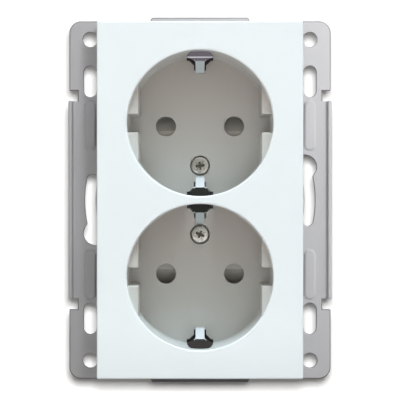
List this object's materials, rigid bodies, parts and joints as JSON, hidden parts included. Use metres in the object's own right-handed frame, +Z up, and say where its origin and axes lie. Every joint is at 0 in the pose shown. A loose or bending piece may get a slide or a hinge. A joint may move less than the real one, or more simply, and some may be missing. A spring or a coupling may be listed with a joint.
{
  "type": "side-earth twin socket insert",
  "caption": "Twin wall socket with round recessed wells, sprung side earth clips, shuttered pin holes and a steel support frame for a flush box.",
  "frame": {"origin": "centre of the frame's four corner holes, on the frame's rear face, which is the wall plane", "axes": "+X to the right seen from the room, +Y into the wall, +Z up"},
  "size_m": [0.0716, 0.0408, 0.0996],
  "materials": {
    "white_plastic": "glossy cool white moulding",
    "carrier_plastic": "dark grey glass-filled moulding",
    "rear_plastic": "dark grey moulding",
    "shutter_plastic": "grey low-friction moulding",
    "galvanised_sheet": "galvanised sheet with a fine spangle",
    "spring_steel": "drawn spring wire",
    "contact_brass": "bare stamped brass",
    "rivet_brass": "headed brass",
    "earth_clip_metal": "bright nickel-plated spring sheet",
    "zinc_screw": "zinc-plated steel",
    "clamp_steel": "zinc-plated stamped washer"
  },
  "bodies": {
    "housing": {"support_frame": "galvanised_sheet", "cover_plate": "white_plastic", "contact_carrier": "carrier_plastic", "rear_cover": "rear_plastic", "upper_shutter_spring": "spring_steel", "lower_shutter_spring": "spring_steel", "line_contact_strip": "contact_brass", "neutral_contact_strip": "contact_brass", "earth_strip": "earth_clip_metal", "middle_earth_clip": "earth_clip_metal", "earth_terminal": "contact_brass", "middle_clip_rivet": "rivet_brass", "upper_bracket_rivet": "rivet_brass", "lower_bracket_rivet": "rivet_brass", "upper_cover_screw": "zinc_screw", "lower_cover_screw": "zinc_screw", "upper_cover_nut": "zinc_screw", "lower_cover_nut": "zinc_screw", "rear_screw_upper_left": "zinc_screw", "rear_screw_upper_right": "zinc_screw", "rear_screw_lower_left": "zinc_screw", "rear_screw_lower_right": "zinc_screw"},
    "upper_shutter_body": {"upper_shutter": "shutter_plastic"},
    "lower_shutter_body": {"lower_shutter": "shutter_plastic"},
    "line_upper_clamp": {"line_upper_terminal_screw": "zinc_screw", "line_upper_clamp_washer": "clamp_steel"},
    "line_lower_clamp": {"line_lower_terminal_screw": "zinc_screw", "line_lower_clamp_washer": "clamp_steel"},
    "earth_upper_clamp": {"earth_upper_terminal_screw": "zinc_screw", "earth_upper_clamp_washer": "clamp_steel"},
    "earth_lower_clamp": {"earth_lower_terminal_screw": "zinc_screw", "earth_lower_clamp_washer": "clamp_steel"},
    "neutral_upper_clamp": {"neutral_upper_terminal_screw": "zinc_screw", "neutral_upper_clamp_washer": "clamp_steel"},
    "neutral_lower_clamp": {"neutral_lower_terminal_screw": "zinc_screw", "neutral_lower_clamp_washer": "clamp_steel"}
  },
  "joints": [
    {"name": "upper_shutter_slide", "type": "slide", "parent": "housing", "child": "upper_shutter_body", "axis": [0, 0, -1], "range_m": [0, 0.0058], "stiffness_N_per_m": 60, "springref_m": -0.003, "deforming": ["upper_shutter_spring"]},
    {"name": "lower_shutter_slide", "type": "slide", "parent": "housing", "child": "lower_shutter_body", "axis": [0, 0, 1], "range_m": [0, 0.0058], "stiffness_N_per_m": 60, "springref_m": -0.003, "deforming": ["lower_shutter_spring"]},
    {"name": "line_upper_clamp_slide", "type": "slide", "parent": "housing", "child": "line_upper_clamp", "axis": [0, 1, 0], "range_m": [0, 0.0024]},
    {"name": "line_lower_clamp_slide", "type": "slide", "parent": "housing", "child": "line_lower_clamp", "axis": [0, 1, 0], "range_m": [0, 0.0024]},
    {"name": "earth_upper_clamp_slide", "type": "slide", "parent": "housing", "child": "earth_upper_clamp", "axis": [0, 1, 0], "range_m": [0, 0.0024]},
    {"name": "earth_lower_clamp_slide", "type": "slide", "parent": "housing", "child": "earth_lower_clamp", "axis": [0, 1, 0], "range_m": [0, 0.0024]},
    {"name": "neutral_upper_clamp_slide", "type": "slide", "parent": "housing", "child": "neutral_upper_clamp", "axis": [0, 1, 0], "range_m": [0, 0.0024]},
    {"name": "neutral_lower_clamp_slide", "type": "slide", "parent": "housing", "child": "neutral_lower_clamp", "axis": [0, 1, 0], "range_m": [0, 0.0024]}
  ]
}
